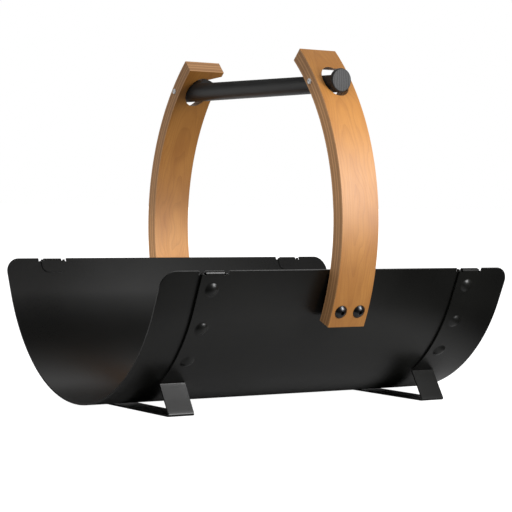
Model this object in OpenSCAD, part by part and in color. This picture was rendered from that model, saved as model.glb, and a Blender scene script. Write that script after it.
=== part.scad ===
// Firewood log rack: a U-shaped sheet steel trough on two bent leg bands, with two
// bent plywood arms that carry a round wooden handle bar.
// Millimetres. X runs along the trough, Y across it (front is -Y), Z is up.
// The origin is on the floor, under the middle of the trough.

/* [Trough] */
// Length of the trough, end to end
trough_len = 500; // [400:1:600]
// Height of the trough's top edges above the floor
rim_h = 169; // [160:1:190]
// Thickness of the trough sheet
sheet_t = 2; // [1:0.5:2.5]
// Outside radius of the trough along the bottom
bottom_r = 187; // [180:1:192]
// Outside radius of the trough up the sides
side_r = 207; // [202:1:212]
// Angle at which the side radius ends and the flat flank starts
flank_angle = 67; // [65:0.5:69]
// Radius of the four top corners
corner_r = 18; // [5:1:25]

/* [Leg bands] */
// Distance from the middle of the rack to the middle of the left leg band
left_band_x = 183.5; // [150:0.5:205]
// Distance from the middle of the rack to the middle of the right leg band
right_band_x = 186.5; // [150:0.5:205]
// Width of a leg band
band_w = 34; // [28:1:40]
// Thickness of a leg band
band_t = 2; // [1.5:0.5:3]
// Width of the narrower strip that folds over the rim
hook_w = 24; // [14:1:26]
// Width of the notch in the rim that the fold sits in
notch_w = 40; // [34:1:46]
// Depth of the notch in the rim
notch_h = 4; // [3:0.5:6]
// Length of the tab on the inside of the trough
tab_h = 21; // [14:1:26]
// Radius of the tab's lower corners
tab_r = 9; // [2:1:12]
// Distance from the middle of the rack to the outer edge of a foot
foot_y = 131; // [126:1:140]
// Angle on the side radius where the band leaves the trough for the foot
foot_angle = 35.5; // [32:0.5:40]
// Diameter of a pressed dome
dome_d = 17; // [12:1:22]
// Height of a pressed dome
dome_h = 3.5; // [2:0.5:5]
// Heights of the three domes on each side
dome_z = [64, 103, 148]; // [50:1:150]

/* [Arms] */
// Width of an arm along the trough
arm_w = 52; // [46:1:60]
// Thickness of the laminated arm
arm_t = 18; // [15:1:20]
// Outside radius of an arm's curve
arm_r = 286; // [284:1:288]
// Distance from the middle of the rack to the far centre of an arm's curve
arm_cy = 65.4; // [65:0.1:66]
// Height of the centre of an arm's curve
arm_cz = 219.6; // [219:0.1:220]
// Angle of an arm's lower end, below level
arm_low = -24.3; // [-26:0.1:-24]
// Angle of an arm's upper end, above level
arm_high = 47; // [46:0.1:49]
// Diameter of the handle hole
eye_d = 35; // [32:0.5:36]
// Distance of the handle hole's middle from the middle of the arm, to the right
eye_x = 1.5; // [0:0.5:3]
// Height of the middle of the handle hole
eye_z = 389.8; // [388:0.1:391]
// Height of the slot's lower edge below the top of the handle hole
mouth_h = 12; // [8:1:14]
// Rise of the front slot's upper edge, from the handle hole to the arm's right edge
front_mouth_rise = 0; // [0:0.5:7]
// Rise of the back slot's upper edge
back_mouth_rise = 5; // [0:0.5:7]

/* [Handle] */
// Diameter of the handle bar
bar_d = 28; // [26:0.5:29]
// Length of the handle bar
bar_len = 359; // [350:1:370]
// Height of the handle bar's middle
bar_z = 391.1; // [390:0.1:392]
// Angle by which the bar rises towards the back
bar_tilt = 0.2; // [0:0.1:0.4]
// Height of the flat on top of the bar, above the bar's middle
front_flat_h = 5.5; // [5.5:0.5:9]
// Height of the flat above the bar's middle at its back end
back_flat_h = 8.5; // [6:0.5:10]
// Where the flat ends at the front, from the middle of the rack
flat_front = 175; // [160:1:176]
// Where the flat ends at the back, from the middle of the rack
flat_back = 120; // [110:1:172]

/* [Fasteners] */
// Distance from the middle of an arm to each of its two bolts
bolt_x = 13; // [10:0.5:16]
// Angle on the arm's curve where the bolts sit
bolt_angle = -20.4; // [-21:0.1:-20]
// Tilt of the bolts below level
bolt_tilt = 22; // [20.5:0.1:23]
// Diameter of the bolt shank
bolt_d = 6; // [5:0.5:6]
// Diameter of the bolt head
bolt_head_d = 16; // [12:0.5:17]
// Height of the bolt head
bolt_head_h = 4.5; // [3:0.5:5]
// Outside diameter of the spacers and washers
ring_d = 15; // [12:0.5:16]
// Thickness of the washers
washer_t = 1.5; // [1:0.5:2]
// Width across the flats of the nuts
nut_w = 10; // [9:0.5:11]
// Height of the nuts
nut_h = 5; // [4:0.5:6]
// Distance from the middle of the rack to the front handle screw
front_screw_y = 151; // [150:0.5:157]
// Height of the front handle screw
front_screw_z = 389; // [388:0.5:392]
// Distance from the middle of the rack to the back handle screw
back_screw_y = 156; // [150:0.5:157]
// Height of the back handle screw
back_screw_z = 390.5; // [388:0.5:392]
// Diameter of the handle screw's shank
screw_d = 3.5; // [3:0.5:4]
// Diameter of the handle screw's head
screw_head_d = 7; // [5:0.5:8]
// Length of the handle screw
screw_len = 34; // [28:1:40]

/* [Hidden] */
$fn = 96;

steel = [0.16, 0.16, 0.15];
wood = [0.80, 0.56, 0.36];
stained = [0.12, 0.12, 0.12];
zinc = [0.80, 0.81, 0.82];

gap = 0.1;           // clearance between parts that touch on the real rack
fit = 0.5;           // clearance round a shank in its hole
floor_gap = 1.5;     // daylight between a floor strip and the trough
big = 400;           // longer than any cut needs

// Trough outline in the Y-Z plane: bottom arc, side arc, flat flank
low_z = band_t + floor_gap;
bottom_angle = atan2(3, 4);     // where the bottom radius changes to the side radius
bottom_c = [0, low_z + bottom_r];
side_c = bottom_c + (bottom_r - side_r) * [sin(bottom_angle), -cos(bottom_angle)];
flank_dir = [cos(flank_angle), sin(flank_angle)];
flank_out = [sin(flank_angle), -cos(flank_angle)];
flank_low = side_c + side_r * flank_out;
rim_s = (rim_h - flank_low[1]) / flank_dir[1];
rim_p = flank_low + rim_s * flank_dir;

// Leg band
foot_p = side_c + (side_r + gap + band_t) * [sin(foot_angle), -cos(foot_angle)];
foot_in = side_c + (side_r + gap) * [sin(foot_angle), -cos(foot_angle)];
foot_mid = side_c
    + (side_r + gap + band_t / 2) * [sin(foot_angle + 1), -cos(foot_angle + 1)];
foot_run = foot_y - foot_p[0];
foot_len = norm([foot_run, foot_p[1]]);
foot_n = [foot_p[1], foot_run] / foot_len;
fold_drop = notch_h / flank_dir[1] + 0.1;  // from the rim down the flank to the fold's centre
relief = 2;          // width of the cuts beside the fold
ear_drop = 3.6;      // the band's ears stop this far below the rim

// Arms and handle
arm_c = [-arm_cy, arm_cz];
mouth_low = eye_z + eye_d / 2 - mouth_h;
nub = [eye_x, eye_z] + eye_d / 2 * [sin(23), cos(23)];  // where the slot's upper edge meets the hole
flat_run = 4;        // length of the slope at the flat's back end

// Bolts: "in" points from the head towards the trough
bolt_p = arm_c + arm_r * [cos(bolt_angle), sin(bolt_angle)];
bolt_in = [-cos(bolt_tilt), sin(bolt_tilt)];
seat = 0.5;          // depth of the flat that a bolt head sits on
wall_s = ((rim_p - bolt_p) * flank_out) / (bolt_in * flank_out);
wall_in = sheet_t + 0.2;
arm_s = arm_t + 0.2;

// Everything on the Y-Z plane, pushed out along X and centred on it
module along_x(length) {
    rotate([90, 0, 90])
        linear_extrude(height = length, center = true)
            children();
}

// Slice of the Y-Z plane between two angles, measured up from straight down
module slice(centre, from, to) {
    polygon([centre,
        centre + big * [sin(from), -cos(from)],
        centre + big * [sin(to), -cos(to)]]);
}

// Ring between two radii round a centre, cut to a slice
module ring_slice(centre, inner, outer, from, to) {
    intersection() {
        translate(centre)
            difference() {
                circle(r = outer, $fn = 180);
                circle(r = inner, $fn = 180);
            }
        slice(centre, from, to);
    }
}

// The flat flank between two offsets from the trough outline, up to a distance
// above (or below) the rim
module flank(inner, outer, above) {
    polygon([flank_low + (inner + outer) / 2 * flank_out - 2 * flank_dir,
        flank_low + outer * flank_out,
        rim_p + outer * flank_out + above * flank_dir,
        rim_p + inner * flank_out + above * flank_dir,
        flank_low + inner * flank_out]);
}

// The trough seen from its end
module trough_end() {
    ring_slice(bottom_c, bottom_r - sheet_t, bottom_r, -bottom_angle, bottom_angle);
    for (m = [0, 1])
        mirror([m, 0]) {
            ring_slice(side_c, side_r - sheet_t, side_r, bottom_angle, flank_angle);
            flank(-sheet_t, 0, sheet_t);
        }
}

// Side view of the trough: a rectangle with rounded top corners
module side_view() {
    translate([-trough_len / 2, -1]) square([trough_len, rim_h + 1 - corner_r]);
    translate([-trough_len / 2 + corner_r, -1])
        square([trough_len - 2 * corner_r, rim_h + 1]);
    for (s = [-1, 1])
        translate([s * (trough_len / 2 - corner_r), rim_h - corner_r])
            circle(r = corner_r);
}

module trough() {
    color(steel)
        difference() {
            intersection() {
                along_x(trough_len) trough_end();
                rotate([90, 0, 0])
                    linear_extrude(height = 2 * big, center = true) side_view();
            }
            for (x = [-left_band_x, right_band_x])
                translate([x, 0, rim_h])
                    cube([notch_w, 2 * big, 2 * notch_h], center = true);
            for (s = [-1, 1])
                for (x = [-bolt_x, bolt_x])
                    side(s) on_bolt(x)
                        cylinder(h = 60, d = bolt_d + fit);
        }
}

// Moves children from the back of the rack (+Y) to the side s
module side(s) {
    mirror([0, s < 0 ? 1 : 0, 0]) children();
}

// Puts children on a bolt's axis at the back arm, +Z pointing in to the trough
module on_bolt(x) {
    translate([x, bolt_p[0], bolt_p[1]])
        rotate([90 - bolt_tilt, 0, 0])
            children();
}

// Puts a drawing on the back flank: its X along the rack, its Y up the flank from
// the rim, and +Z into the trough
module on_flank() {
    translate([0, rim_p[0], rim_p[1]])
        rotate([flank_angle, 0, 0])
            children();
}

// The fold over the rim and its two legs, seen from the end of the rack
module fold() {
    r_in = sheet_t / 2 + gap;
    r_out = r_in + band_t;
    translate(rim_p - sheet_t / 2 * flank_out - fold_drop * flank_dir)
        rotate(flank_angle) {
            intersection() {
                difference() {
                    circle(r = r_out);
                    circle(r = r_in);
                }
                translate([0, -2 * r_out]) square(4 * r_out);
            }
            for (y = [-r_out, r_in])
                translate([-tab_h / 3, y]) square([tab_h / 3, band_t]);
        }
}

// The foot and half of the floor strip, seen from the end of the rack
module foot() {
    polygon([foot_p, [foot_y, 0], [foot_y - band_t / foot_n[0], 0],
        foot_p - band_t * foot_n, foot_in, foot_mid]);
    translate([-1, 0]) square([foot_y - band_t, band_t]);
}

module band_side() {
    difference() {
        along_x(band_w) {
            ring_slice(side_c, side_r + gap, side_r + gap + band_t, foot_angle, flank_angle);
            flank(gap, gap + band_t, -ear_drop);
        }
        for (s = [-1, 1])
            translate([s * (hook_w + relief) / 2, rim_p[0], rim_h])
                cube([relief, 4 * band_t + 20, 2 * notch_h + 2], center = true);
        translate([0, rim_p[0], rim_h])
            cube([hook_w + 1, 4 * band_t + 20, 2 * notch_h + 2], center = true);
    }
    along_x(band_w) foot();
    along_x(hook_w) fold();
    tab();
    for (z = dome_z) dome(z);
}

// Tab on the inside of the flank, with round lower corners
module tab() {
    on_flank()
        translate([0, 0, sheet_t + gap])
            linear_extrude(height = band_t)
                difference() {
                    union() {
                        translate([-band_w / 2, tab_r - tab_h])
                            square([band_w, tab_h - tab_r - ear_drop]);
                        translate([-band_w / 2 + tab_r, -tab_h])
                            square([band_w - 2 * tab_r, tab_h - ear_drop]);
                        for (s = [-1, 1])
                            translate([s * (band_w / 2 - tab_r), tab_r - tab_h])
                                circle(r = tab_r);
                    }
                    translate([-hook_w / 2 - relief, -notch_h])
                        square([hook_w + 2 * relief, 2 * notch_h]);
                }
}

// One pressed dome on the outside of the band, at a height
module dome(z) {
    ball_r = (pow(dome_d / 2, 2) + pow(dome_h, 2)) / (2 * dome_h);
    out = side_r + gap + band_t;
    a = z < flank_low[1] ? acos((side_c[1] - z) / out) : flank_angle;
    n = [sin(a), -cos(a)];
    flat_s = (z - flank_low[1] + (out - side_r) * cos(a)) / flank_dir[1];
    p = side_c + out * n + (z < flank_low[1] ? 0 : flat_s) * flank_dir;
    c = p - (ball_r - dome_h) * n;
    translate([0, c[0], c[1]])
        rotate([a, 0, 0])
            intersection() {
                sphere(r = ball_r);
                translate([0, 0, -ball_r]) cylinder(h = dome_h + band_t - 0.5, d = dome_d);
            }
}

module leg_band() {
    color(steel)
        for (s = [-1, 1]) side(s) band_side();
}

module left_leg_band() {
    translate([-left_band_x, 0, 0]) leg_band();
}

module right_leg_band() {
    translate([right_band_x, 0, 0]) leg_band();
}

// A bent arm at the back, curving in over the trough, with its handle screw at y, z
module arm(y, z, mouth_rise) {
    color(wood)
        difference() {
            along_x(arm_w)
                ring_slice(arm_c, arm_r - arm_t, arm_r, 90 + arm_low, 90 + arm_high);
            translate([eye_x, 0, eye_z]) rotate([-90, 0, 0]) cylinder(h = big, d = eye_d);
            translate([0, big, 0])
                rotate([90, 0, 0])
                    linear_extrude(height = big)
                        polygon([[eye_x, mouth_low], [arm_w / 2 + 1, mouth_low],
                            [arm_w / 2 + 1, nub[1] + mouth_rise], nub]);
            for (x = [-bolt_x, bolt_x])
                on_bolt(x) {
                    translate([0, 0, -10]) cylinder(h = 10 + seat, d = bolt_head_d + 1);
                    cylinder(h = 60, d = bolt_d + fit);
                }
            screw_hole(y, z, fit);
        }
}

module front_arm() {
    side(-1) arm(front_screw_y, front_screw_z, front_mouth_rise);
}

module back_arm() {
    arm(back_screw_y, back_screw_z, back_mouth_rise);
}

module screw_hole(y, z, clear) {
    translate([-arm_w / 2 - 1, y, z])
        rotate([0, 90, 0])
            cylinder(h = screw_len + 2, d = screw_d + clear);
}

module handle_bar() {
    color(stained)
        difference() {
            translate([0, 0, bar_z])
                rotate([bar_tilt, 0, 0])
                    difference() {
                        rotate([90, 0, 0])
                            cylinder(h = bar_len, d = bar_d, center = true);
                        along_x(2 * bar_d)
                            polygon([[-flat_front, front_flat_h], [flat_back - flat_run, back_flat_h],
                                [flat_back, bar_d / 2], [flat_back, bar_d],
                                [-flat_front, bar_d]]);
                    }
            side(-1) screw_hole(front_screw_y, front_screw_z, 0.1);
            screw_hole(back_screw_y, back_screw_z, 0.1);
        }
}

// Pan-head screw driven in along +X from an arm's left edge
module handle_screw(y, z) {
    head_h = 2;
    color(zinc)
        translate([-arm_w / 2, y, z])
            rotate([0, 90, 0])
                difference() {
                    union() {
                        cylinder(h = screw_len, d = screw_d);
                        translate([0, 0, -head_h - 0.05]) cylinder(h = head_h, d = screw_head_d);
                        translate([0, 0, -0.1]) cylinder(h = 0.2, d = screw_d);
                    }
                    for (a = [0, 90])
                        rotate(a)
                            translate([0, 0, -head_h])
                                cube([3.6, 0.8, 2], center = true);
                }
}

module front_handle_screw() {
    side(-1) handle_screw(front_screw_y, front_screw_z);
}

module back_handle_screw() {
    handle_screw(back_screw_y, back_screw_z);
}

// Button-head bolt with a hex socket
module bolt(s, x) {
    ball_r = (pow(bolt_head_d / 2, 2) + pow(bolt_head_h, 2)) / (2 * bolt_head_h);
    tip = wall_s + wall_in + washer_t + nut_h + 1;
    color(steel)
        side(s) on_bolt(x)
            difference() {
                union() {
                    cylinder(h = tip, d = bolt_d);
                    translate([0, 0, seat - gap])
                        intersection() {
                            translate([0, 0, ball_r - bolt_head_h]) sphere(r = ball_r);
                            translate([0, 0, -bolt_head_h])
                                cylinder(h = bolt_head_h, d = bolt_head_d);
                        }
                }
                translate([0, 0, seat - bolt_head_h - 1])
                    cylinder(h = 3.6, d = 4.6, $fn = 6);
            }
}

module front_left_bolt() { bolt(-1, -bolt_x); }
module front_right_bolt() { bolt(-1, bolt_x); }
module back_left_bolt() { bolt(1, -bolt_x); }
module back_right_bolt() { bolt(1, bolt_x); }

// Flat ring on a bolt's axis
module ring(s, x, start, thick) {
    color(steel)
        side(s) on_bolt(x)
            translate([0, 0, start])
                difference() {
                    cylinder(h = thick, d = ring_d);
                    translate([0, 0, -1]) cylinder(h = thick + 2, d = bolt_d + fit);
                }
}

// Spacer that holds an arm off the trough wall
module spacer(s, x) {
    ring(s, x, arm_s, wall_s - arm_s - 0.2);
}

module front_left_spacer() { spacer(-1, -bolt_x); }
module front_right_spacer() { spacer(-1, bolt_x); }
module back_left_spacer() { spacer(1, -bolt_x); }
module back_right_spacer() { spacer(1, bolt_x); }

module washer(s, x) {
    ring(s, x, wall_s + wall_in, washer_t);
}

module front_left_washer() { washer(-1, -bolt_x); }
module front_right_washer() { washer(-1, bolt_x); }
module back_left_washer() { washer(1, -bolt_x); }
module back_right_washer() { washer(1, bolt_x); }

module nut(s, x) {
    color(steel)
        side(s) on_bolt(x)
            translate([0, 0, wall_s + wall_in + washer_t + 0.05])
                difference() {
                    cylinder(h = nut_h, d = nut_w / cos(30), $fn = 6);
                    translate([0, 0, -1]) cylinder(h = nut_h + 2, d = bolt_d + gap);
                }
}

module front_left_nut() { nut(-1, -bolt_x); }
module front_right_nut() { nut(-1, bolt_x); }
module back_left_nut() { nut(1, -bolt_x); }
module back_right_nut() { nut(1, bolt_x); }

trough();
left_leg_band();
right_leg_band();
front_arm();
back_arm();
handle_bar();
front_handle_screw();
back_handle_screw();
front_left_bolt();
front_right_bolt();
back_left_bolt();
back_right_bolt();
front_left_spacer();
front_right_spacer();
back_left_spacer();
back_right_spacer();
front_left_washer();
front_right_washer();
back_left_washer();
back_right_washer();
front_left_nut();
front_right_nut();
back_left_nut();
back_right_nut();
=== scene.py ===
"""Looks of a firewood log rack: a black powder-coated steel trough on two strip legs, with two bent
plywood arms and a stained handle bar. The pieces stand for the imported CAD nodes, in the same frame.
Lengths are millimetres and angles degrees; a mesh is scaled to metres when it is made."""
import math

import bmesh
import bpy
from mathutils import Matrix, Vector


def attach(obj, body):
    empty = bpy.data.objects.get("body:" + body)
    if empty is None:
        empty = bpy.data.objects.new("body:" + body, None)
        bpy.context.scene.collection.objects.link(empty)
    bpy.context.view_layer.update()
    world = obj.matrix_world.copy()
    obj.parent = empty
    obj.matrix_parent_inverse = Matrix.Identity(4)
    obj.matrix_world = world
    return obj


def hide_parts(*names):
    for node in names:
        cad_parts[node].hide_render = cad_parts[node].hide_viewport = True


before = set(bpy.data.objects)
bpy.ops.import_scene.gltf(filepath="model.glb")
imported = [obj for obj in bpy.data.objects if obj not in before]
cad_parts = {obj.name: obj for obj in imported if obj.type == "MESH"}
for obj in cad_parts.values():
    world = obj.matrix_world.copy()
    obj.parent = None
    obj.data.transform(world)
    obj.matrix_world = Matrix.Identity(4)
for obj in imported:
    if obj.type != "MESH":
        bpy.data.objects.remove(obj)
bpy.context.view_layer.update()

MM = 0.001

# ---------------------------------------------------------------- driving dimensions

# Trough
TROUGH_LEN = 500
RIM_H = 169
SHEET_T = 2
BOTTOM_R = 187
SIDE_R = 207
BOTTOM_ANGLE = math.degrees(math.atan2(3, 4))
FLANK_ANGLE = 67
CORNER_R = 18

# Leg bands
LEFT_BAND_X = -183.5
RIGHT_BAND_X = 186.5
BAND_W = 34
BAND_T = 2
HOOK_W = 24
RELIEF = 2
NOTCH_W = 40
NOTCH_H = 4
EAR_DROP = 3.6
TAB_H = 21
TAB_R = 9
FOOT_Y = 131
TOE_OUT = 1.5  # from FOOT_Y to the toe's corner, before the bend rounds it
FOOT_ANGLE = 35.5
FOOT_BEND = 2.2
ANKLE_BEND = 0.9
DOME_R = 8.5
DOME_H = 3.5
DOME_Z = (64, 103, 148)

# Arms
ARM_W = 52
ARM_T = 18
ARM_R = 286
ARM_CY = -65.4
ARM_CZ = 219.6
ARM_LOW = -24.3
ARM_HIGH = 47
EYE_R = 17.5
EYE_X = 1.5
EYE_Z = 389.8
MOUTH_H = 12
FRONT_MOUTH_RISE = 0
BACK_MOUTH_RISE = 5
NUB_ANGLE = 23

# Handle bar
BAR_R = 14
BAR_LEN = 359
BAR_Z = 391.1
BAR_TILT = 0.2
FRONT_FLAT_H = 5.5
BACK_FLAT_H = 8.5
FLAT_FRONT = 175
FLAT_BACK = 120
FLAT_RUN = 4

# Bolts and handle screws
BOLT_X = 13
BOLT_ANGLE = -20.4
BOLT_TILT = 22
BOLT_HEAD_R = 8
BOLT_HEAD_H = 4.5
BOLT_SEAT = 0.5
BOLT_R = 3
BOLT_LEN = 24
HEX_R = 2.65
HEX_DEPTH = 3.0
FRONT_SCREW = (151, 389)
BACK_SCREW = (156, 390.5)
SCREW_HEAD_R = 3.5
SCREW_HEAD_H = 2.0
SCREW_R = 1.7
SCREW_LEN = 6

# Clearances, and a length that passes right through any piece
GAP = 0.1
FLOOR_GAP = 1.5
THROUGH = 400

# ---------------------------------------------------------------- small geometry helpers


def aim(angle):
    """Direction in the Y-Z plane, as (y, z), measured up from +Y."""
    return Vector((math.cos(math.radians(angle)), math.sin(math.radians(angle))))


def out(angle):
    """Outward normal of the trough's back half where its wall slopes up at angle."""
    return Vector((math.sin(math.radians(angle)), -math.cos(math.radians(angle))))


def spread(start, end, step):
    """Evenly spaced values from start to end, both included, about step apart."""
    count = max(1, round(abs(end - start) / step))
    return [start + (end - start) * i / count for i in range(count + 1)]


BOTTOM_C = Vector((0, BAND_T + FLOOR_GAP + BOTTOM_R))
SIDE_C = BOTTOM_C + (BOTTOM_R - SIDE_R) * out(BOTTOM_ANGLE)
FLANK_LOW = SIDE_C + SIDE_R * out(FLANK_ANGLE)
FLANK_LEN = (RIM_H - FLANK_LOW.y) / aim(FLANK_ANGLE).y
RIM = FLANK_LOW + FLANK_LEN * aim(FLANK_ANGLE)


class Walk:
    """A line in the Y-Z plane made of straight and bent runs. Each row holds the point, its normal
    (on the right of the way ahead) and the zone of the stretch that leads to it."""

    def __init__(self, start, heading):
        self.point = Vector(start)
        self.heading = heading
        self.rows = [(self.point.copy(), out(heading), None)]

    def straight(self, length, zone="full", step=4.0):
        start = self.point.copy()
        for s in spread(0, length, step)[1:]:
            self.point = start + s * aim(self.heading)
            self.rows.append((self.point.copy(), out(self.heading), zone))

    def bend(self, radius, turn, zone="full", step=15.0):
        """Turns left by turn degrees, or right where turn is negative."""
        side = 1 if turn > 0 else -1
        centre = self.point - side * radius * out(self.heading)
        first = self.heading
        for angle in spread(0, turn, step)[1:]:
            self.heading = first + angle
            self.point = centre + side * radius * out(self.heading)
            self.rows.append((self.point.copy(), out(self.heading), zone))


def both_sides(rows):
    """Rows from the middle to the back tip, joined to their mirror image at the front."""
    front = []
    for i in range(len(rows) - 1, 0, -1):
        point, normal, zone = rows[i]
        lead = rows[i + 1][2] if i + 1 < len(rows) else None
        front.append((Vector((-point.x, point.y)), Vector((-normal.x, normal.y)), lead))
    first = (rows[0][0], rows[0][1], rows[1][2])
    return front + [first] + rows[1:]


# ---------------------------------------------------------------- mesh helpers


def make_object(name, verts, faces, smooth=True):
    """A mesh object from points in millimetres."""
    mesh = bpy.data.meshes.new(name)
    mesh.from_pydata([Vector(v) * MM for v in verts], [], faces)
    work = bmesh.new()
    work.from_mesh(mesh)
    bmesh.ops.remove_doubles(work, verts=work.verts, dist=0.005 * MM)
    bmesh.ops.recalc_face_normals(work, faces=work.faces)
    work.to_mesh(mesh)
    work.free()
    if smooth:
        mesh.polygons.foreach_set("use_smooth", [True] * len(mesh.polygons))
    obj = bpy.data.objects.new(name, mesh)
    bpy.context.scene.collection.objects.link(obj)
    return obj


def settle(obj):
    """Applies the modifiers of obj to its mesh."""
    bpy.context.view_layer.update()
    graph = bpy.context.evaluated_depsgraph_get()
    mesh = bpy.data.meshes.new_from_object(obj.evaluated_get(graph))
    obj.modifiers.clear()
    obj.data = mesh


def cut(obj, tool):
    """Cuts tool out of obj and removes it."""
    boolean = obj.modifiers.new("cut", "BOOLEAN")
    boolean.operation = "DIFFERENCE"
    boolean.solver = "EXACT"
    boolean.object = tool
    settle(obj)
    bpy.data.objects.remove(tool)


def soften(obj, width, segments=3, angle=32):
    """Rounds every edge that is sharper than angle."""
    bevel = obj.modifiers.new("soften", "BEVEL")
    bevel.width = width * MM
    bevel.segments = segments
    bevel.limit_method = "ANGLE"
    bevel.angle_limit = math.radians(angle)
    bevel.harden_normals = True
    settle(obj)
    obj.data.polygons.foreach_set("use_smooth", [True] * len(obj.data.polygons))


def sheet(name, xs, rows, thick, keep, place):
    """A bent sheet: a grid of xs by rows with a skin on each side, and walls round every free edge.
    place(x, row) gives the outer point and normal; keep(x, zone) says whether a cell is there."""
    verts = []
    for i in range(len(rows)):
        for x in xs:
            point, normal = place(x, i)
            verts.append(point)
            verts.append(point - thick * normal)
    across = len(xs)

    def index(i, j, inner):
        return 2 * (i * across + j) + inner

    cells = set()
    for i in range(len(rows) - 1):
        for j in range(across - 1):
            if keep((xs[j] + xs[j + 1]) / 2, rows[i + 1][2]):
                cells.add((i, j))
    faces = []
    for i, j in sorted(cells):
        corners = ((i, j), (i, j + 1), (i + 1, j + 1), (i + 1, j))
        faces.append([index(a, b, 0) for a, b in corners])
        faces.append([index(a, b, 1) for a, b in reversed(corners)])
        beside = ((i - 1, j), (i, j + 1), (i + 1, j), (i, j - 1))
        for k, cell in enumerate(beside):
            if cell not in cells:
                a, b = corners[k], corners[(k + 1) % 4]
                faces.append([index(*b, 0), index(*a, 0), index(*a, 1), index(*b, 1)])
    return make_object(name, verts, faces)


def lathe(name, profile, steps=48):
    """A body turned about +Z from a profile of (radius, height) points that starts and ends on
    the axis."""
    verts = []
    for k in range(steps):
        turn = 2 * math.pi * k / steps
        verts += [(r * math.cos(turn), r * math.sin(turn), z) for r, z in profile]
    count = len(profile)
    faces = []
    for k in range(steps):
        here, there = k * count, (k + 1) % steps * count
        for i in range(count - 1):
            faces.append([here + i, there + i, there + i + 1, here + i + 1])
    obj = make_object(name, verts, faces)
    work = bmesh.new()
    work.from_mesh(obj.data)
    bmesh.ops.dissolve_degenerate(work, edges=work.edges, dist=0.005 * MM)
    work.to_mesh(obj.data)
    work.free()
    return obj


def prism(name, radius, sides, low, high):
    """A straight prism about +Z between two heights."""
    turns = [2 * math.pi * k / sides for k in range(sides)]
    verts = [(radius * math.cos(t), radius * math.sin(t), z) for z in (low, high) for t in turns]
    faces = [list(range(sides)), list(range(sides, 2 * sides))]
    faces += [[k, (k + 1) % sides, sides + (k + 1) % sides, sides + k] for k in range(sides)]
    return make_object(name, verts, faces, smooth=False)


def block(name, low, high):
    """A box between two corners, for cutting."""
    (x0, y0, z0), (x1, y1, z1) = low, high
    verts = [(x, y, z) for z in (z0, z1) for y in (y0, y1) for x in (x0, x1)]
    faces = [(0, 1, 3, 2), (4, 5, 7, 6), (0, 1, 5, 4), (2, 3, 7, 6), (0, 2, 6, 4), (1, 3, 7, 5)]
    return make_object(name, verts, faces, smooth=False)


def move(obj, matrix, side=1):
    """Moves the mesh by a matrix in millimetres, and to the front of the rack where side is -1."""
    matrix = matrix.copy()
    matrix.translation *= MM
    if side < 0:
        matrix = Matrix.Scale(-1, 4, (0, 1, 0)) @ matrix
    obj.data.transform(matrix)
    if side < 0:
        obj.data.flip_normals()


def finish_piece(obj, node, material):
    """Gives a piece its material and puts it in the place of a CAD node."""
    obj.data.materials.clear()
    obj.data.materials.append(material)
    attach(obj, "root")
    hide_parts(node)


# ---------------------------------------------------------------- materials


class Net:
    """The nodes of a material or world: each call adds one node and returns its output."""

    def __init__(self, owner):
        owner.use_nodes = True
        self.owner = owner
        self.tree = owner.node_tree

    def put(self, socket, value):
        if isinstance(value, bpy.types.NodeSocket):
            self.tree.links.new(value, socket)
        else:
            socket.default_value = value

    def add(self, kind, inputs, output=0, **settings):
        node = self.tree.nodes.new(kind)
        for name, value in settings.items():
            setattr(node, name, value)
        for name, value in inputs.items():
            self.put(node.inputs[name], value)
        return node.outputs[output]

    def place(self):
        return self.add("ShaderNodeTexCoord", {}, "Object")

    def math(self, operation, a, b=0.0):
        return self.add("ShaderNodeMath", {0: a, 1: b}, operation=operation)

    def length(self, a, b):
        """Length of the vector (a, b)."""
        squares = [self.math("MULTIPLY", side, side) for side in (a, b)]
        return self.math("SQRT", self.math("ADD", *squares))

    def split(self, vector):
        node = self.tree.nodes.new("ShaderNodeSeparateXYZ")
        self.put(node.inputs[0], vector)
        return node.outputs

    def join(self, x, y, z):
        """A vector. Each part is a value, or a value and the factor to stretch it by."""
        x, y, z = (self.math("MULTIPLY", *part) if isinstance(part, tuple) else part for part in (x, y, z))
        return self.add("ShaderNodeCombineXYZ", {"X": x, "Y": y, "Z": z})

    def grey(self, level):
        return self.join(level, level, level)

    def noise(self, vector, scale, detail=2.0, rough=0.5):
        return self.add("ShaderNodeTexNoise", {"Vector": vector, "Scale": scale, "Detail": detail,
                                               "Roughness": rough}, "Fac")

    def range(self, value, low, high, to_low, to_high):
        """Value carried from one range to another, held at the ends."""
        return self.add("ShaderNodeMapRange", {"Value": value, "From Min": low, "From Max": high,
                                               "To Min": to_low, "To Max": to_high})

    def mix(self, factor, a, b, blend="MIX"):
        node = self.tree.nodes.new("ShaderNodeMix")
        node.data_type = "RGBA"
        node.blend_type = blend
        self.put(node.inputs["Factor"], factor)
        self.put(node.inputs[6], a)
        self.put(node.inputs[7], b)
        return node.outputs[2]

    def bump(self, height, distance, strength):
        """A bump whose height, from 0 to 1, spans distance in millimetres."""
        return self.add("ShaderNodeBump", {"Height": height, "Distance": distance * MM,
                                           "Strength": strength})

    def finish(self, **inputs):
        """Sets the surface shader's sockets and returns the material."""
        surface = self.tree.nodes["Principled BSDF"]
        for name, value in inputs.items():
            self.put(surface.inputs[name.replace("_", " ")], value)
        return self.owner


COAT = (0.0050, 0.0050, 0.0044)


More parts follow.
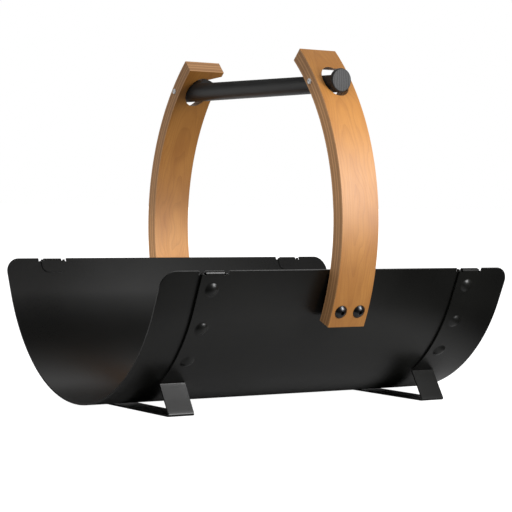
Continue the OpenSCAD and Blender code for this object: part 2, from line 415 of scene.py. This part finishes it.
def powder_coat(name):
    """Satin black powder coat: a fine pebbled skin, slightly uneven in gloss."""
    net = Net(bpy.data.materials.new(name))
    place = net.place()
    pebble = net.noise(place, 1400, 2.0)
    peel = net.noise(place, 260, 1.0)
    cloud = net.noise(place, 9, 3.0)
    skin = net.math("ADD", net.math("MULTIPLY", pebble, 0.6), net.math("MULTIPLY", peel, 0.8))
    dark = [c * 0.82 for c in COAT] + [1]
    light = [c * 1.22 for c in COAT] + [1]
    fine = net.range(pebble, 0.3, 0.7, 0.28, 0.36)
    broad = net.range(cloud, 0.3, 0.7, -0.02, 0.02)
    return net.finish(
        Base_Color=net.mix(net.range(cloud, 0.35, 0.65, 0, 1), dark, light),
        Roughness=net.math("ADD", fine, broad),
        Specular_IOR_Level=0.5,
        Normal=net.bump(skin, 0.05, 0.35))


PLIES = 7
RINGS_PER_M = 260
VENEER = (0.52, 0.228, 0.048, 1)
VENEER_DARK = (0.36, 0.133, 0.024, 1)
VENEER_LINE = (0.22, 0.070, 0.014, 1)
PLY_LONG = (0.78, 0.42, 0.18, 1)
PLY_CROSS = (0.50, 0.245, 0.095, 1)
GLUE = (0.17, 0.08, 0.036, 1)


def plywood(name, side, seed, low_tone, fade, top_tone):
    """Bent plywood: veneer grain along the arm on its faces, plies on its edges and ends. Works in
    the arm's own coordinates: along its curve from the height of its centre, across it, and depth
    from its outer face. Along the arm the colour is scaled from the foot value to 1, and past fade to
    the top value: painted light and shade, partly a real colour change in the veneer."""
    net = Net(bpy.data.materials.new(name))
    x, y, z = net.split(net.place())
    y = net.math("SUBTRACT", net.math("MULTIPLY", y, side), ARM_CY * MM)
    z = net.math("SUBTRACT", z, ARM_CZ * MM)
    radius = net.length(y, z)
    along = net.math("MULTIPLY", net.math("ARCTAN2", z, y), ARM_R * MM)
    depth = net.math("SUBTRACT", ARM_R * MM, radius)

    # Grain: long nested ovals, bent a little, with fine streaks and pores
    slow = net.noise(net.join((along, 9), (x, 30), seed), 1, 2)
    wander = net.math("MULTIPLY", net.math("SUBTRACT", slow, 0.5), 0.042)
    centre = net.math("ADD", x, net.math("ADD", wander, 0.004 * math.sin(seed)))
    far = net.math("MULTIPLY", net.math("ADD", along, 0.02 * math.cos(seed)), 0.105)
    rings = net.math("FRACT", net.math("MULTIPLY", net.length(centre, far), RINGS_PER_M))
    late = net.range(rings, 0.55, 0.97, 0, 1)
    late = net.math("MULTIPLY", late, net.range(rings, 0.97, 1.0, 1, 0))
    streak = net.noise(net.join((along, 12), (x, 900), depth), 1, 3, 0.6)
    pore = net.noise(net.join((along, 130), (x, 2600), depth), 1, 2, 0.6)
    patch = net.noise(net.join((along, 14), (x, 40), seed + 7), 1, 2)
    face = net.mix(net.range(patch, 0.35, 0.7, 0.0, 0.6), VENEER, VENEER_DARK)
    face = net.mix(net.math("MULTIPLY", late, 0.2), face, VENEER_LINE)
    face = net.mix(net.range(streak, 0.45, 0.75, 0, 0.34), face, VENEER_DARK)
    face = net.mix(net.range(pore, 0.62, 0.75, 0, 0.35), face, VENEER_LINE)
    # Painted light and shade along the arm, partly a real colour change in the veneer: the back arm's
    # brighter foot is painted light and its darker top is painted shade; on the front arm the darker foot is
    # the veneer's own colour and the darker top is partly painted shade.
    tone = net.math("MULTIPLY", net.range(along, -0.05, 0.03, low_tone, 1),
                    net.range(along, fade, 0.21, 1, top_tone))

    # Edge: plies of long and cross grain with thin glue lines between them
    wave = net.math("SINE", net.math("MULTIPLY", depth, 4 * math.pi / (ARM_T * MM)))
    count = net.math("MULTIPLY", depth, PLIES / (ARM_T * MM))
    count = net.math("ADD", count, net.math("MULTIPLY", wave, 0.2))
    inside = net.math("FRACT", count)
    odd = net.math("MODULO", net.math("FLOOR", count), 2)
    glue = net.math("ABSOLUTE", net.math("SUBTRACT", inside, 0.5))
    glue = net.range(glue, 0.42, 0.48, 0, 1)
    fibre = net.noise(net.join((along, 60), (depth, 2200), x), 1, 3, 0.6)
    speckle = net.noise(net.join(along, depth, net.math("ADD", x, 1.0)), 1100, 2, 0.6)
    grain = net.mix(odd, net.grey(fibre), net.grey(speckle))
    edge = net.mix(odd, PLY_LONG, PLY_CROSS)
    edge = net.mix(net.range(grain, 0.4, 0.7, 0.55, 0), edge, PLY_CROSS)
    edge = net.mix(net.math("MULTIPLY", glue, 0.6), edge, GLUE)

    # A surface near depth 0 or the full thickness is a face, unless it looks along the curve or across
    normal = net.split(net.add("ShaderNodeNewGeometry", {}, "Normal"))
    radial = net.math("ADD", net.math("MULTIPLY", net.math("MULTIPLY", normal[1], side), y),
                      net.math("MULTIPLY", normal[2], z))
    radial = net.math("ABSOLUTE", net.math("DIVIDE", radial, radius))
    on_skin = net.math("MINIMUM", net.math("ABSOLUTE", depth),
                       net.math("ABSOLUTE", net.math("SUBTRACT", depth, ARM_T * MM)))
    is_face = net.math("MULTIPLY", net.range(radial, 0.55, 0.8, 0, 1),
                       net.range(on_skin, 0.0006, 0.0011, 1, 0))
    # Faces and edges alike take the painted light and shade along the arm.
    colour = net.mix(1.0, net.mix(is_face, edge, face), net.grey(tone), "MULTIPLY")
    face_relief = net.math("ADD", net.math("MULTIPLY", pore, 0.5), net.math("MULTIPLY", streak, 0.5))
    edge_relief = net.math("ADD", net.math("MULTIPLY", speckle, 0.8), net.math("MULTIPLY", glue, -0.6))
    relief = net.mix(is_face, edge_relief, face_relief)
    sawn = net.range(is_face, 0, 1, 0.15, 0)
    return net.finish(
        Base_Color=colour,
        Roughness=net.math("ADD", net.range(streak, 0.3, 0.7, 0.40, 0.50), sawn),
        Specular_IOR_Level=0.55,
        Normal=net.bump(relief, 0.12, 0.35))


STAIN_DARK = (0.018, 0.018, 0.018, 1)
STAIN_LIGHT = (0.034, 0.034, 0.033, 1)
END_DARK = (0.032, 0.032, 0.033, 1)
END_LIGHT = (0.055, 0.055, 0.056, 1)
END_LINE = (0.006, 0.006, 0.006, 1)


def stained_wood(name):
    """Black-stained dowel: grain lines run along it and show as lines on its cut ends."""
    net = Net(bpy.data.materials.new(name))
    x, y, z = net.split(net.place())
    z = net.math("SUBTRACT", z, BAR_Z * MM)
    bend = net.noise(net.join((x, 60), (y, 8), (z, 60)), 1, 2)
    layer = net.math("ADD", x, net.math("MULTIPLY", net.math("SUBTRACT", bend, 0.5), 0.004))
    rings = net.math("FRACT", net.math("MULTIPLY", layer, 300))
    late = net.math("MULTIPLY", net.range(rings, 0.4, 0.9, 0, 1), net.range(rings, 0.92, 1.0, 1, 0))
    fibre = net.noise(net.join((x, 1500), (y, 30), (z, 1500)), 1, 3, 0.6)
    speck = net.noise(net.join(x, (y, 0.05), z), 1700, 2, 0.6)
    normal = net.split(net.add("ShaderNodeNewGeometry", {}, "Normal"))
    is_end = net.range(net.math("ABSOLUTE", normal[1]), 0.9, 0.98, 0, 1)
    side_tone = net.mix(net.range(fibre, 0.35, 0.7, 0, 1), STAIN_DARK, STAIN_LIGHT)
    end_tone = net.mix(net.range(speck, 0.35, 0.65, 0, 1), END_DARK, END_LIGHT)
    end_tone = net.mix(net.math("MULTIPLY", late, 0.8), end_tone, END_LINE)
    relief = net.mix(is_end, fibre, net.math("SUBTRACT", speck, net.math("MULTIPLY", late, 0.7)))
    return net.finish(
        Base_Color=net.mix(is_end, side_tone, end_tone),
        Roughness=net.math("ADD", net.range(fibre, 0.3, 0.7, 0.36, 0.5), net.math("MULTIPLY", is_end, 0.12)),
        Specular_IOR_Level=0.35,
        Normal=net.bump(relief, 0.15, 0.4))


def metal(name, shade, rough, metallic=1.0):
    """Plated or blackened steel with a faint uneven finish."""
    net = Net(bpy.data.materials.new(name))
    place = net.place()
    grit = net.noise(place, 900, 2.0)
    cloud = net.noise(place, 120, 2.0)
    dark = [c * 0.8 for c in shade] + [1]
    light = [min(1.0, c * 1.15) for c in shade] + [1]
    return net.finish(
        Base_Color=net.mix(net.range(cloud, 0.3, 0.7, 0, 1), dark, light),
        Metallic=metallic,
        Roughness=net.range(grit, 0.3, 0.7, rough * 0.85, rough * 1.2),
        Normal=net.bump(grit, 0.02, 0.3))


def pale_floor(name):
    """Pale floor, white to the camera. In reflections it is a pale sheet under the rack that ends in
    a dark surround, and is bright behind it."""
    material = bpy.data.materials.new(name)
    net = Net(material)
    x, y, _ = net.split(net.place())
    under = net.range(net.length(x, y), 0.28, 0.38, 0.42, 0.02)
    behind = net.range(y, 0.3, 0.7, 0, 1)
    path = net.tree.nodes.new("ShaderNodeLightPath").outputs
    mirrored = net.grey(net.math("MAXIMUM", under, behind))
    material.cycles.emission_sampling = "NONE"
    return net.finish(
        Base_Color=net.mix(path["Is Glossy Ray"], (0.35, 0.35, 0.35, 1), mirrored),
        Emission_Color=(1, 1, 1, 1),
        Emission_Strength=path["Is Camera Ray"],
        Roughness=0.8,
        Specular_IOR_Level=0.0)


# ---------------------------------------------------------------- pieces


def trough_piece(material):
    """The trough: its wall from end to end, corners rounded by sliding the rows down the wall."""
    walk = Walk((0, BAND_T + FLOOR_GAP), 0)
    walk.bend(BOTTOM_R, BOTTOM_ANGLE, step=1.3)
    walk.bend(SIDE_R, FLANK_ANGLE - BOTTOM_ANGLE, step=1.3)
    walk.straight(FLANK_LEN - 2 * CORNER_R)
    walk.straight(2 * CORNER_R - NOTCH_H / aim(FLANK_ANGLE).y, step=3)
    walk.straight(NOTCH_H / aim(FLANK_ANGLE).y, "notched", step=3)
    rows = both_sides(walk.rows)

    half = TROUGH_LEN / 2
    bands = (LEFT_BAND_X, RIGHT_BAND_X)
    marks = [CORNER_R - half]
    for x in bands:
        marks += [x - NOTCH_W / 2, x + NOTCH_W / 2]
    marks.append(half - CORNER_R)
    xs = []
    for low, high in zip(marks, marks[1:]):
        xs += spread(low, high, 9)[:-1]
    corner = [half - CORNER_R + CORNER_R * math.sin(math.radians(a)) for a in range(0, 91, 9)]
    xs = [-x for x in reversed(corner)] + xs[1:] + corner

    def place(x, i):
        point, normal, _ = rows[i]
        past = max(0.0, abs(x) - (half - CORNER_R))
        drop = CORNER_R - math.sqrt(max(0.0, CORNER_R ** 2 - past ** 2))
        start = RIM_H - 2 * CORNER_R * aim(FLANK_ANGLE).y
        if point.y > start:
            share = (point.y - start) / (RIM_H - start)
            up_wall = Vector((-normal.y * math.copysign(1, point.x), abs(normal.x)))
            point = point - share * drop / aim(FLANK_ANGLE).y * up_wall
        return Vector((x, point.x, point.y)), Vector((0, normal.x, normal.y))

    def keep(x, zone):
        return zone != "notched" or all(abs(x - band) > NOTCH_W / 2 for band in bands)

    obj = sheet("trough_sheet", xs, rows, SHEET_T, keep, place)
    soften(obj, 0.45, 2, 50)
    finish_piece(obj, "trough", material)


def dome_centres():
    """Where the pressed domes sit on the band's outer line, as points in the Y-Z plane."""
    outer = SIDE_R + GAP + BAND_T
    centres = []
    for z in DOME_Z:
        angle = math.degrees(math.acos((SIDE_C.y - z) / outer))
        if angle <= FLANK_ANGLE:
            centres.append(SIDE_C + outer * out(angle))
        else:
            low = SIDE_C + outer * out(FLANK_ANGLE)
            centres.append(low + (z - low.y) / aim(FLANK_ANGLE).y * aim(FLANK_ANGLE))
    return centres


def dome_height(x, point, centres):
    """How far the pressed domes lift the band at a place."""
    ball = (DOME_R ** 2 + DOME_H ** 2) / (2 * DOME_H)
    lift = 0.0
    for centre in centres:
        away = math.hypot(x, (point - centre).length)
        if away < DOME_R:
            lift = DOME_H - ball + math.sqrt(ball ** 2 - away ** 2)
    return lift


def band_piece(name, node, x_mid, material):
    """A leg band: floor strip, feet, wall with its domes, fold over the rim and tab inside."""
    outer = SIDE_R + GAP + BAND_T
    ankle = SIDE_C + outer * out(FOOT_ANGLE)
    toe = Vector((FOOT_Y + TOE_OUT, 0))
    rise = math.degrees(math.atan2(ankle.y, ankle.x - toe.x))
    toe_cut = FOOT_BEND * math.tan(math.radians(rise / 2))
    ankle_turn = rise - FOOT_ANGLE
    ankle_cut = ANKLE_BEND * math.tan(math.radians(ankle_turn / 2))
    slope = aim(FLANK_ANGLE).y
    fold_r = SHEET_T / 2 + GAP + BAND_T
    fold_low = NOTCH_H / slope + 0.1
    relief_low = (NOTCH_H + 1) / slope
    ear_turn = math.degrees((fold_low - EAR_DROP) / fold_r)

    walk = Walk((0, 0), 0)
    walk.straight(toe.x - toe_cut, step=12)
    walk.bend(FOOT_BEND, rise, step=10)
    walk.straight((ankle - toe).length - toe_cut - ankle_cut, step=4)
    walk.bend(ANKLE_BEND, -ankle_turn, step=12)
    walk.straight(ankle_cut)
    walk.bend(outer, FLANK_ANGLE - FOOT_ANGLE, "wall", step=0.28)
    walk.straight(FLANK_LEN - relief_low, "wall", step=1.0)
    walk.straight(relief_low - fold_low, "ears")
    walk.bend(fold_r, ear_turn, "ears", step=8)
    walk.bend(fold_r, 180 - 2 * ear_turn, "fold", step=12)
    walk.bend(fold_r, ear_turn, "ears", step=8)
    walk.straight(relief_low - fold_low, "ears")
    walk.straight(TAB_H - relief_low - TAB_R, step=2)
    first_round = len(walk.rows)
    turn = 10
    for a in range(turn, 91, turn):
        walk.straight(TAB_R * (math.sin(math.radians(a)) - math.sin(math.radians(a - turn))), step=20)
    rows = both_sides(walk.rows)
    total = len(walk.rows)
    centres = dome_centres()

    strip = [HOOK_W / 2 + RELIEF, (HOOK_W / 2 + RELIEF + BAND_W / 2) / 2, BAND_W / 2]
    xs = spread(0, HOOK_W / 2, 1) + strip
    xs = [-x for x in reversed(xs[1:])] + xs

    def place(x, i):
        point, normal, _ = rows[i]
        step = abs(i - (total - 1))
        round_row = step - first_round + 1
        if round_row > 0:
            a = math.radians(turn * round_row)
            half = BAND_W / 2 - TAB_R * (1 - math.cos(a))
            x = x * half / (BAND_W / 2)
        on_wall = "wall" in (rows[i][2], rows[min(i + 1, len(rows) - 1)][2])
        lift = dome_height(x, Vector((abs(point.x), point.y)), centres) if on_wall else 0
        normal3 = Vector((0, normal.x, normal.y))
        return Vector((x + x_mid, point.x, point.y)) + lift * normal3, normal3

    def keep(x, zone):
        ear = zone == "ears" and abs(x) > HOOK_W / 2 + RELIEF
        return zone not in ("ears", "fold") or abs(x) < HOOK_W / 2 or ear

    obj = sheet(name, xs, rows, BAND_T, keep, place)
    soften(obj, 0.3, 2, 50)
    finish_piece(obj, node, material)


def bolt_frame(x):
    """The frame of a bolt at the back arm: +Z runs out of the arm along the bolt."""
    place = Vector((ARM_CY, ARM_CZ)) + ARM_R * aim(BOLT_ANGLE)
    return Matrix.Translation((x, place.x, place.y)) @ Matrix.Rotation(math.radians(-90 - BOLT_TILT), 4, "X")


def mouth_tool(rise):
    """The slot from the handle hole to the arm's right edge, as a body to cut with."""
    nub = math.radians(NUB_ANGLE)
    nub_x, nub_z = EYE_X + EYE_R * math.sin(nub), EYE_Z + EYE_R * math.cos(nub)
    low = EYE_Z + EYE_R - MOUTH_H
    outline = [(EYE_X, low), (ARM_W / 2 + 1, low), (ARM_W / 2 + 1, nub_z + rise), (nub_x, nub_z)]
    verts = [(x, y, z) for y in (50, THROUGH) for x, z in outline]
    faces = [(0, 1, 2, 3), (4, 5, 6, 7), (0, 1, 5, 4), (1, 2, 6, 5), (2, 3, 7, 6), (3, 0, 4, 7)]
    return make_object("mouth_tool", verts, faces, smooth=False)


def arm_piece(name, node, side, mouth_rise, material):
    """A bent arm, built at the back and moved to the front where side is -1."""
    angles = spread(ARM_LOW, ARM_HIGH, 1.2)
    xs = (-ARM_W / 2, ARM_W / 2)
    verts = []
    for a in angles:
        for r in (ARM_R - ARM_T, ARM_R):
            spot = Vector((ARM_CY, ARM_CZ)) + r * aim(a)
            verts += [(x, spot.x, spot.y) for x in xs]
    faces = []
    for k in range(len(angles) - 1):
        a, b = 4 * k, 4 * (k + 1)
        faces += [[a + i, a + j, b + j, b + i] for i, j in ((0, 1), (1, 3), (3, 2), (2, 0))]
    last = 4 * (len(angles) - 1)
    faces += [[0, 1, 3, 2], [last, last + 1, last + 3, last + 2]]
    obj = make_object(name, verts, faces)
    eye = prism("eye_tool", EYE_R, 72, 0, THROUGH)
    move(eye, Matrix.Translation((EYE_X, 0, EYE_Z)) @ Matrix.Rotation(math.radians(-90), 4, "X"))
    cut(obj, eye)
    cut(obj, mouth_tool(mouth_rise))
    for x in (-BOLT_X, BOLT_X):
        seat = prism("seat_tool", BOLT_HEAD_R + 0.5, 48, -BOLT_SEAT, 20)
        move(seat, bolt_frame(x))
        cut(obj, seat)
    soften(obj, 0.9, 3, 35)
    move(obj, Matrix.Identity(4), side)
    finish_piece(obj, node, material)


def handle_piece(material):
    """The handle bar: rings of points along it, held down to the flat."""
    half = BAR_LEN / 2
    edge = 1.6
    over_steps, under_steps = 24, 48
    flat_len = FLAT_FRONT + FLAT_BACK - FLAT_RUN

    def flat_line(y):
        """Height of the flat at y, held past its ends."""
        part = min(1.0, max(0.0, (y + FLAT_FRONT) / flat_len))
        return FRONT_FLAT_H + (BACK_FLAT_H - FRONT_FLAT_H) * part

    def flat_at(y):
        """Height of the bar's top at y: low along the flat, full at the ends."""
        past_front = -FLAT_FRONT - y
        past_back = y - (FLAT_BACK - FLAT_RUN)
        if past_front > 0:
            return BAR_R
        if past_back > 0:
            return BACK_FLAT_H + (BAR_R - BACK_FLAT_H) * past_back / FLAT_RUN
        return flat_line(y)

    def ring_angles(y):
        """Angles round the bar, with one at each edge of the flat."""
        low = math.degrees(math.asin(flat_line(y) / BAR_R))
        over = [low + (180 - 2 * low) * k / over_steps for k in range(over_steps)]
        return over + [180 - low + (180 + 2 * low) * k / under_steps for k in range(under_steps)]

    ys = [-FLAT_FRONT - 0.01, -FLAT_FRONT]
    ys += spread(-FLAT_FRONT, FLAT_BACK - FLAT_RUN, 12)[1:]
    ys += spread(FLAT_BACK - FLAT_RUN, FLAT_BACK, 0.5)[1:]
    sections = []
    for a in range(0, 91, 15):
        inset = edge * (1 - math.sin(math.radians(a)))
        sections.append((-half + edge * (1 - math.cos(math.radians(a))), BAR_R - inset))
    sections += [(y, BAR_R) for y in ys]
    for a in range(90, -1, -15):
        inset = edge * (1 - math.sin(math.radians(a)))
        sections.append((half - edge * (1 - math.cos(math.radians(a))), BAR_R - inset))
    verts = []
    for y, r in sections:
        top = flat_at(y)
        verts += [(r * math.cos(math.radians(a)), y, min(top, r * math.sin(math.radians(a))))
                  for a in ring_angles(y)]
    count = over_steps + under_steps
    faces = []
    for k in range(len(sections) - 1):
        for i in range(count):
            j = (i + 1) % count
            faces.append([k * count + i, k * count + j, (k + 1) * count + j, (k + 1) * count + i])
    faces.append(list(range(count)))
    faces.append(list(range((len(sections) - 1) * count, len(sections) * count)))
    obj = make_object("handle_dowel", verts, faces)
    soften(obj, 0.5, 2, 32)
    move(obj, Matrix.Translation((0, 0, BAR_Z)) @ Matrix.Rotation(math.radians(BAR_TILT), 4, "X"))
    finish_piece(obj, "handle_bar", material)


def bolt_piece(name, node, side, x, material):
    """A button-head bolt with a hex socket."""
    ball = (BOLT_HEAD_R ** 2 + BOLT_HEAD_H ** 2) / (2 * BOLT_HEAD_H)
    rim = math.degrees(math.asin(BOLT_HEAD_R / ball))
    profile = [(0, -BOLT_LEN), (BOLT_R, -BOLT_LEN), (BOLT_R, 0),
               (BOLT_HEAD_R - 0.5, 0), (BOLT_HEAD_R - 0.1, 0.15), (BOLT_HEAD_R, 0.5)]
    for a in spread(rim * 0.94, 0, 6):
        u = math.radians(a)
        profile.append((ball * math.sin(u), BOLT_HEAD_H - ball + ball * math.cos(u)))
    obj = lathe(name, profile, 64)
    cut(obj, prism("hex_tool", HEX_R, 6, BOLT_HEAD_H - HEX_DEPTH, BOLT_HEAD_H + HEX_DEPTH))
    soften(obj, 0.25, 2, 40)
    move(obj, bolt_frame(x) @ Matrix.Translation((0, 0, -BOLT_SEAT + 0.05)), side)
    finish_piece(obj, node, material)


def screw_piece(name, node, side, spot, material):
    """A pan-head screw with a cross recess."""
    profile = [(0, -SCREW_LEN), (SCREW_R, -SCREW_LEN), (SCREW_R, 0),
               (SCREW_HEAD_R - 0.3, 0), (SCREW_HEAD_R, 0.3)]
    for a in range(10, 91, 10):
        u = math.radians(a)
        profile.append((SCREW_HEAD_R * math.cos(u) ** 0.7, 0.5 + (SCREW_HEAD_H - 0.5) * math.sin(u)))
    obj = lathe(name, profile, 48)
    reach, half_slot, floor = 1.9, 0.42, 0.7
    for a in (35, 125):
        slot_tool = block("slot_tool", (-reach, -half_slot, floor), (reach, half_slot, 2 * SCREW_HEAD_H))
        move(slot_tool, Matrix.Rotation(math.radians(a), 4, "Z"))
        cut(obj, slot_tool)
    soften(obj, 0.12, 2, 40)
    seat = Matrix.Translation((-ARM_W / 2 - 0.05, *spot))
    move(obj, seat @ Matrix.Rotation(math.radians(-90), 4, "Y"), side)
    finish_piece(obj, node, material)


# ---------------------------------------------------------------- building

coat = powder_coat("black_powder_coat")
oxide = metal("black_oxide", (0.075, 0.075, 0.078), 0.30)
zinc = metal("bright_zinc", (0.88, 0.90, 0.92), 0.25, metallic=0.35)
nylon = metal("black_nylon", (0.02, 0.02, 0.02), 0.5, metallic=0.0)

# The last three values of each arm set its painted light and shade along the arm, partly a real colour
# change in the veneer.
front_ply = plywood("front_plywood", -1, seed=2.3, low_tone=0.75, fade=0.15, top_tone=0.72)
back_ply = plywood("back_plywood", 1, seed=5.1, low_tone=1.5, fade=0.0, top_tone=0.66)

trough_piece(coat)
band_piece("left_band_strip", "left_leg_band", LEFT_BAND_X, coat)
band_piece("right_band_strip", "right_leg_band", RIGHT_BAND_X, coat)
arm_piece("front_arm_ply", "front_arm", -1, FRONT_MOUTH_RISE, front_ply)
arm_piece("back_arm_ply", "back_arm", 1, BACK_MOUTH_RISE, back_ply)
handle_piece(stained_wood("black_stained_wood"))
for end, side, spot in (("front", -1, FRONT_SCREW), ("back", 1, BACK_SCREW)):
    screw_piece(f"{end}_screw", f"{end}_handle_screw", side, spot, zinc)
    for hand, x in (("left", -BOLT_X), ("right", BOLT_X)):
        bolt_piece(f"{end}_{hand}_button_bolt", f"{end}_{hand}_bolt", side, x, oxide)
        for kind, finish in (("spacer", nylon), ("washer", oxide), ("nut", oxide)):
            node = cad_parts[f"{end}_{hand}_{kind}"]
            node.data.materials.clear()
            node.data.materials.append(finish)

# ---------------------------------------------------------------- stage, light and camera


def stage_floor():
    """The floor, wide enough to reach past every view."""
    size = 60000
    low = -0.1  # just under the feet, so that the two surfaces don't coincide
    corners = [(-size, -size, low), (size, -size, low), (size, size, low), (-size, size, low)]
    floor = make_object("floor", corners, [(0, 1, 2, 3)], smooth=False)
    if floor.data.polygons[0].normal.z < 0:
        floor.data.flip_normals()
    floor.data.materials.append(pale_floor("pale_floor"))


def softbox(name, place, target, width, height, radiance):
    """A rectangular light that faces target; radiance is its brightness as seen."""
    light = bpy.data.lights.new(name, "AREA")
    light.shape = "RECTANGLE"
    light.size = width * MM
    light.size_y = height * MM
    light.energy = radiance * math.pi * width * height * MM * MM
    obj = bpy.data.objects.new(name, light)
    obj.location = Vector(place) * MM
    obj.rotation_euler = (Vector(target) - Vector(place)).to_track_quat("-Z", "Y").to_euler()
    bpy.context.scene.collection.objects.link(obj)


def studio_world(fill, shade, back):
    """White to the camera and even as soft light. In reflections it is a studio that is dark to the
    left and front and pale behind to the right."""
    world = bpy.data.worlds.new("studio")
    world.cycles.sampling_method = "NONE"
    net = Net(world)
    net.tree.nodes.clear()
    x, y, _ = net.split(net.add("ShaderNodeTexCoord", {}, "Generated"))
    wall = net.math("MULTIPLY", net.range(y, -0.1, 0.5, 0, back), net.range(x, -0.3, 0.3, 0, 1))
    studio = net.math("ADD", wall, shade)
    path = net.tree.nodes.new("ShaderNodeLightPath").outputs
    level = net.mix(path["Is Glossy Ray"], (fill, fill, fill, 1), net.grey(studio))
    level = net.mix(path["Is Camera Ray"], level, (1, 1, 1, 1))
    shown = net.add("ShaderNodeBackground", {"Color": level, "Strength": 1.0})
    end = net.tree.nodes.new("ShaderNodeOutputWorld")
    net.put(end.inputs["Surface"], shown)
    bpy.context.scene.world = world


def camera():
    """Low and to the left, looking a little down along the rack."""
    place = Vector((-1231.5, -1844.9, 246.5))
    yaw, pitch, roll = (math.radians(a) for a in (33.784, -1.762, 0.861))
    ahead = Vector((math.sin(yaw) * math.cos(pitch), math.cos(yaw) * math.cos(pitch), math.sin(pitch)))
    level = Vector((math.cos(yaw), -math.sin(yaw), 0))
    rise = level.cross(ahead)
    right = level * math.cos(roll) + rise * math.sin(roll)
    up = rise * math.cos(roll) - level * math.sin(roll)
    lens = bpy.data.cameras.new("camera")
    lens.sensor_width = 36
    lens.lens = 123.95
    lens.clip_start = 0.05
    lens.clip_end = 200
    obj = bpy.data.objects.new("camera", lens)
    obj.matrix_world = Matrix.Translation(place * MM) @ Matrix((right, up, -ahead)).transposed().to_4x4()
    bpy.context.scene.collection.objects.link(obj)
    bpy.context.scene.camera = obj


stage_floor()
studio_world(fill=0.8, shade=0.07, back=0.8)
softbox("key", (375, -860, 460), (-60, -150, 200), width=340, height=500, radiance=14.0)
softbox("top", (1185, -1145, 1707), (0, 0, 100), width=500, height=500, radiance=0.6)
camera()
bpy.context.scene.view_settings.view_transform = "Standard"
